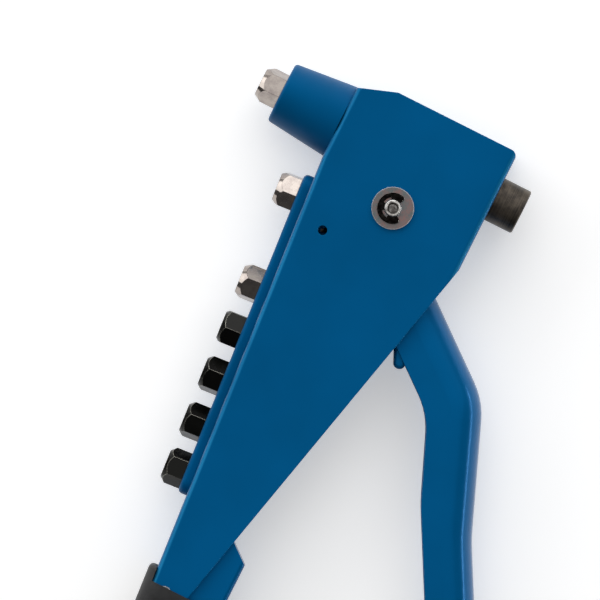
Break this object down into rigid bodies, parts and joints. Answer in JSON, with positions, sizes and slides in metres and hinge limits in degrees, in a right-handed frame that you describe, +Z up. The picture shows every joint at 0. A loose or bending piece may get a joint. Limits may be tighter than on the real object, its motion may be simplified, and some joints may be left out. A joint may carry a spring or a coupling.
{
  "type": "hand riveter",
  "caption": "Hand-squeezed blind riveter: folded steel body, tapered nose, side-carried spare nosepieces and a sprung lever that draws the jaws back.",
  "frame": {"origin": "foot of the lever pivot: centre of the pivot pin head's flat face, on the plane the tool lies on", "axes": "+Z up along the pivot pin, +X back along the rivet axis (the nose points to -X), +Y away from the handles"},
  "size_m": [0.1806, 0.2653, 0.0285],
  "materials": {
    "blue_paint": "glossy blue enamel over stamped steel",
    "nickel_plate": "bright nickel plate",
    "black_oxide": "satin black oxide on turned steel",
    "zinc_plate": "dull zinc plate",
    "spring_steel": "dark spring steel",
    "tool_steel": "hardened and ground steel",
    "sintered_bronze": "oiled sintered bronze",
    "grip_rubber": "soft matte black"
  },
  "bodies": {
    "frame": {"body_shell": "blue_paint", "nose_barrel": "blue_paint", "fitted_nosepiece": "nickel_plate", "nosepiece_rack": "blue_paint", "handle_channel": "blue_paint", "channel_rivets": "zinc_plate", "fixed_grip": "grip_rubber", "pivot_pin": "zinc_plate", "pivot_washer": "zinc_plate", "e_clip": "spring_steel", "thrust_washers": "zinc_plate", "rear_guide_bush": "sintered_bronze", "return_spring": "spring_steel", "spare_nosepiece_1": "nickel_plate", "spare_nosepiece_3": "nickel_plate", "spare_nosepiece_4": "black_oxide", "spare_nosepiece_5": "black_oxide", "spare_nosepiece_6": "black_oxide", "spare_nosepiece_7": "black_oxide"},
    "lever": {"lever": "blue_paint", "lever_grip": "grip_rubber", "pivot_bush": "sintered_bronze"},
    "pulling_head": {"jaw_case": "black_oxide", "tail_sleeve": "black_oxide", "spring_plug": "zinc_plate", "jaw_spring": "spring_steel"},
    "jaw_1": {"jaw_1": "tool_steel"},
    "jaw_2": {"jaw_2": "tool_steel"},
    "jaw_3": {"jaw_3": "tool_steel"},
    "jaw_pusher": {"jaw_pusher": "tool_steel"}
  },
  "joints": [
    {"name": "lever_hinge", "type": "hinge", "parent": "frame", "child": "lever", "pos_m": [0, 0, 0.0135], "axis": [0, 0, -1], "range_deg": [0, 24], "stiffness_Nm_per_rad": 0.5, "springref_deg": -28.65, "deforming": ["return_spring"]},
    {"name": "head_slide", "type": "slide", "parent": "frame", "child": "pulling_head", "axis": [1, 0, 0], "range_m": [0, 0.0072]},
    {"name": "jaw_1_slide", "type": "slide", "parent": "pulling_head", "child": "jaw_1", "axis": [-0.9903, 0, -0.1392], "range_m": [0, 0.00243]},
    {"name": "jaw_2_slide", "type": "slide", "parent": "pulling_head", "child": "jaw_2", "axis": [-0.9903, 0.1205, 0.0696], "range_m": [0, 0.00243]},
    {"name": "jaw_3_slide", "type": "slide", "parent": "pulling_head", "child": "jaw_3", "axis": [-0.9903, -0.1205, 0.0696], "range_m": [0, 0.00243]},
    {"name": "pusher_slide", "type": "slide", "parent": "pulling_head", "child": "jaw_pusher", "axis": [-1, 0, 0], "range_m": [0, 0.00243], "deforming": ["jaw_spring"]}
  ],
  "couplings": [
    {"joint": "head_slide", "follows": "lever_hinge", "m_per_rad": 0.016985},
    {"joint": "jaw_1_slide", "follows": "lever_hinge", "m_per_rad": 0.0057859},
    {"joint": "jaw_2_slide", "follows": "lever_hinge", "m_per_rad": 0.0057859},
    {"joint": "jaw_3_slide", "follows": "lever_hinge", "m_per_rad": 0.0057859},
    {"joint": "pusher_slide", "follows": "lever_hinge", "m_per_rad": 0.0057296}
  ]
}
